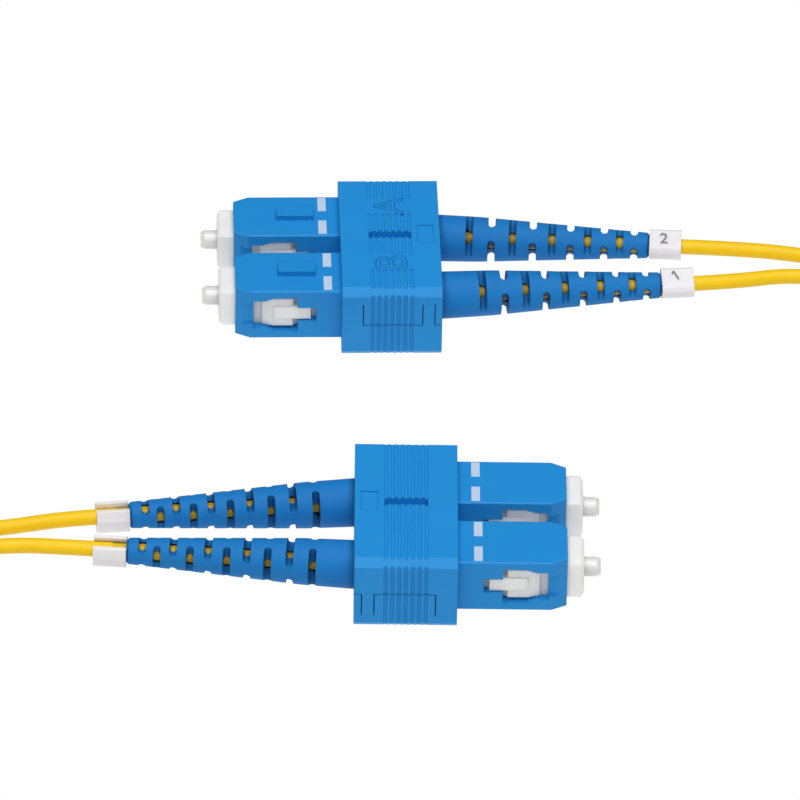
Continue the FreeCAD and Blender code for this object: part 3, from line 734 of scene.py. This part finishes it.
    def window_cutter(self) -> bpy.types.Object:
        """Makes the two prisms that cut the latch windows out of the housing's side walls.

        Returns:
            The object that holds them, which is removed after the cut.
        """
        grid = bmesh.new()
        top = list(self.window_outline_mm)
        outline = top + [(along, -height) for along, height in reversed(top)]
        for side in BOTH_SIDES:
            rings = [
                [grid.verts.new(Vector((along, side * depth, height)) * MM) for along, height in outline]
                for depth in self.window_walls_mm
            ]
            for ring in rings:
                grid.faces.new(ring)
            for k in range(len(outline)):
                after = (k + 1) % len(outline)
                grid.faces.new((rings[0][k], rings[0][after], rings[1][after], rings[1][k]))
        bmesh.ops.recalc_face_normals(grid, faces=grid.faces)
        mesh = mesh_from(grid, "window_cutter")
        mesh.transform(self.axis())
        return link_object("window_cutter", mesh)

    def open_windows(self) -> None:
        """Makes the housing with its latch windows opened to their full height."""
        node = f"outer_housing_{self.name}"
        grid = bmesh.new()
        grid.from_mesh(frame["nodes"][node].data)
        bmesh.ops.remove_doubles(grid, verts=grid.verts, dist=WELD)
        holder = link_object("housing_blank", mesh_from(grid, "housing_blank"))
        cutter = self.window_cutter()
        cut = holder.modifiers.new("windows", "BOOLEAN")
        cut.operation = "DIFFERENCE"
        cut.solver = "EXACT"
        cut.object = cutter
        mesh = mesh_of_object(holder)
        bpy.data.objects.remove(cutter)
        mesh.name = f"housing_moulding_{self.name}"
        mesh.shade_flat()
        piece = add_piece(mesh.name, mesh, HOUSING_PBT, self.grip)
        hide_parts(node)

    def wind_spring(self) -> None:
        """Makes the spring a piece of its own on the cable assembly, in place of its CAD node."""
        node = f"spring_{self.name}"
        mesh = frame["nodes"][node].data.copy()
        mesh.name = f"spring_coil_{self.name}"
        coil = add_piece(mesh.name, mesh, SPRING_STEEL, "cable_assembly")
        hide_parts(node)
        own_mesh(coil)

    def print_numeral(self) -> None:
        """Prints the plug's number on the flat face of its marker."""
        turn = turned(math.radians(self.marker_turn_degrees[self.name]), "X")
        reading = turned(HALF_TURN, "Z")
        along = self.marker_middle - self.boot_seat_mm[self.name] * MM + self.numeral_shift
        place = Matrix.Translation((along, self.numeral_across_mm[self.name] * MM, self.marker_face))
        lean = turned(math.radians(self.numeral_lean_degrees[self.name]), "Z")
        where = self.tail() @ turn @ place @ reading @ lean
        height, thickness = self.numeral_height, self.numeral_thickness
        if self.number == 1:
            mesh = flat_shape(ONE_OUTLINE, height, thickness, where)
        else:
            mesh = lettering(str(self.number), height, thickness, where, weight=self.numeral_weight)
        mesh.name = f"numeral_{self.name}"
        add_piece(mesh.name, mesh, NUMERAL_INK, "cable_assembly")

    def polish_fibre(self) -> None:
        """Sets the fibre's end in the middle of the ferrule's end face."""
        grid = bmesh.new()
        disc = Matrix.Translation((self.ferrule_tip, 0, 0)) @ turned(QUARTER_TURN, "Y")
        bmesh.ops.create_cone(
            grid,
            cap_ends=True,
            segments=self.fibre_segments,
            radius1=self.fibre_radius,
            radius2=self.fibre_radius,
            depth=self.fibre_radius / 2,
            matrix=self.axis() @ disc,
        )
        mesh = mesh_from(grid, f"fibre_end_{self.name}")
        add_piece(mesh.name, mesh, FIBRE_CORE, f"ferrule_unit_{self.name}")

    def build(self) -> None:
        """Makes all of the plug's pieces."""
        self.print_marks()
        self.open_windows()
        self.mould_latch_ridges()
        self.wind_spring()
        self.print_numeral()
        self.polish_fibre()


@dataclass
class Clip:
    """The duplex clip of an end, with the polarity letters moulded on its cover."""

    end: End
    length: float = 13.0 * MM
    half_height: float = 5.25 * MM
    letter_stroke: float = 0.12 * MM
    letter_proud: float = 0.08 * MM
    letters: dict[int, str] = field(default_factory=lambda: {1: "B", 2: "A"})
    letter_height_mm: dict[str, float] = field(default_factory=lambda: {"A": 4.0, "B": 4.3})

    def mould_letters(self) -> None:
        """Raises the outlined letters on the flats between the ribs, tops towards the nose."""
        depth = self.half_height + self.letter_proud - self.letter_stroke
        place = Matrix.Translation((self.length / 2, 0, depth)) @ turned(-QUARTER_TURN, "Z")
        for number, letter in self.letters.items():
            plug = Plug(self.end, number)
            height = self.letter_height_mm[letter] * MM
            mesh = lettering(letter, height, 0.0, plug.axis() @ place, self.letter_stroke)
            mesh.name = f"letter_{plug.name}"
            add_piece(mesh.name, mesh, LETTER_ABS_PAINTED_SHADE, plug.grip)


@dataclass
class CableLeg:
    """One leg of the cable, from the marker of end a to that of end b."""

    number: int
    route_mm: tuple[tuple[float, float, float], ...]
    length: float
    diameter: float = 2.0 * MM
    joint_along: float = -30.5 * MM
    first_run: float = 7.6 * MM
    last_run: float = 6.0 * MM
    order: int = 3
    steps_along: int = 12
    steps_round: int = 6

    def points(self) -> list[Vector]:
        """Works out the route's points, with the runs that leave the two markers along their leans.

        Returns:
            The control points in the row's frame, from end a to end b.
        """
        joint = Vector((self.joint_along, 0, 0))
        start = Plug(End.A, self.number).tail()
        finish = Plug(End.B, self.number).tail()
        begin = [start @ joint, start @ (joint - Vector((self.first_run, 0, 0)))]
        chosen = [Vector(point) * MM for point in self.route_mm]
        end = [finish @ (joint - Vector((self.last_run, 0, 0))), finish @ joint]
        return begin + chosen + end

    def lay(self) -> None:
        """Lays the leg as one smooth curve and says what it is."""
        points = self.points()
        curve = bpy.data.curves.new(f"cable_leg_{self.number}_jacket", "CURVE")
        curve.dimensions = "3D"
        spline = curve.splines.new("NURBS")
        spline.points.add(len(points) - 1)
        for control, point in zip(spline.points, points):
            control.co = (*point, 1.0)
        spline.order_u = self.order
        spline.use_endpoint_u = True
        spline.resolution_u = self.steps_along
        curve.bevel_depth = self.diameter / 2
        curve.bevel_resolution = self.steps_round
        curve.use_fill_caps = True
        curve.materials.append(JACKET_PVC.material())
        leg = link_object(curve.name, curve)
        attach(leg, "cable_assembly")
        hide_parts(f"cable_leg_{self.number}")
        log.info("laid %s", leg.name)


@dataclass(frozen=True)
class Lamp:
    """A square soft lamp that hangs over the camera's side and points at the middle of the table."""

    name: str
    elevation_degrees: float
    power: float
    size: float
    distance: float = 1.2

    def hang(self) -> None:
        """Adds the lamp to the scene."""
        data = bpy.data.lights.new(self.name, "AREA")
        data.energy = self.power
        data.size = self.size
        elevation = math.radians(self.elevation_degrees)
        lamp = link_object(self.name, data)
        lamp.location = self.distance * Vector((0, -math.cos(elevation), math.sin(elevation)))
        lamp.rotation_euler = (-lamp.location).to_track_quat("-Z", "Y").to_euler()


@dataclass
class Studio:
    """A white floor, soft light from above and in front, and the camera of the photograph."""

    floor_half: float = 6.0
    floor_drop: float = 0.1 * MM
    floor_glow: float = 1.0
    white: str = "FFFFFF"
    sky_strength: float = 0.12
    lamps: tuple[Lamp, ...] = (
        Lamp("overhead_softbox", elevation_degrees=82.0, power=12.6, size=0.9),
        Lamp("front_softbox", elevation_degrees=42.0, power=4.2, size=0.8),
    )
    focal_pixels: float = 10906.0
    camera_distance: float = 1410.7 * MM
    far_clip: float = 20.0
    elevation_degrees: float = 35.762
    azimuth_degrees: float = 0.648
    roll_degrees: float = 1.096
    aim: tuple[float, float, float] = (0.246 * MM, 6.791 * MM, 0.0)

    def lay_floor(self) -> None:
        """Lays a plain white floor that stays clear of shade."""
        grid = bmesh.new()
        bmesh.ops.create_grid(grid, x_segments=1, y_segments=1, size=self.floor_half)
        mesh = mesh_from(grid, "floor")
        mesh.transform(Matrix.Translation((0, 0, -self.floor_drop)))
        material = bpy.data.materials.new("floor_white_paper")
        material.use_nodes = True
        tree = material.node_tree
        tree.nodes.clear()
        glow = add_node(
            tree, "ShaderNodeEmission", {"Color": linear(self.white), "Strength": self.floor_glow}
        )
        add_node(tree, "ShaderNodeOutputMaterial", {"Surface": glow.outputs["Emission"]})
        mesh.materials.append(material)
        link_object("floor", mesh)

    def light(self) -> None:
        """Hangs the lamps in a dim, even room."""
        world = bpy.data.worlds.new("room")
        world.use_nodes = True
        tree = world.node_tree
        tree.nodes.clear()
        sky = add_node(
            tree, "ShaderNodeBackground", {"Color": linear(self.white), "Strength": self.sky_strength}
        )
        add_node(tree, "ShaderNodeOutputWorld", {"Surface": sky.outputs["Background"]})
        bpy.context.scene.world = world
        for lamp in self.lamps:
            lamp.hang()

    def set_camera(self) -> None:
        """Sets the camera where the photograph was taken from."""
        azimuth = math.radians(self.azimuth_degrees)
        elevation = math.radians(self.elevation_degrees)
        forward = Vector(
            (
                math.sin(azimuth) * math.cos(elevation),
                math.cos(azimuth) * math.cos(elevation),
                -math.sin(elevation),
            )
        )
        right = forward.cross(Vector((0, 0, 1))).normalized()
        up = right.cross(forward)
        axes = Matrix((right, up, -forward)).transposed().to_4x4()
        roll = turned(math.radians(self.roll_degrees), "Z")
        place = Matrix.Translation(Vector(self.aim) - forward * self.camera_distance)
        data = bpy.data.cameras.new("camera")
        data.sensor_fit = "HORIZONTAL"
        data.sensor_width = SENSOR_WIDTH
        data.lens = self.focal_pixels * SENSOR_WIDTH / IMAGE_SIZE
        data.clip_end = self.far_clip
        camera = link_object("camera", data)
        camera.matrix_world = place @ axes @ roll
        bpy.context.scene.camera = camera

    def build(self) -> None:
        """Builds the floor, the light and the camera."""
        self.lay_floor()
        self.light()
        self.set_camera()
        bpy.context.scene.view_settings.view_transform = "Standard"
        log.info("set the floor, %d lamps and the camera", len(self.lamps))


def main() -> None:
    """Builds the scene in order: camera and cables first, then finishes and fine pieces."""
    logging.basicConfig(level=logging.INFO, format="%(name)s: %(message)s")
    Studio().build()
    CableLeg(1, NEAR_ROUTE_MM, NEAR_LEG_LENGTH).lay()
    CableLeg(2, FAR_ROUTE_MM, FAR_LEG_LENGTH).lay()
    dress_frame()
    for end in End:
        Clip(end).mould_letters()
        for number in PLUG_NUMBERS:
            Plug(end, number).build()


if __name__ == "__main__":
    main()
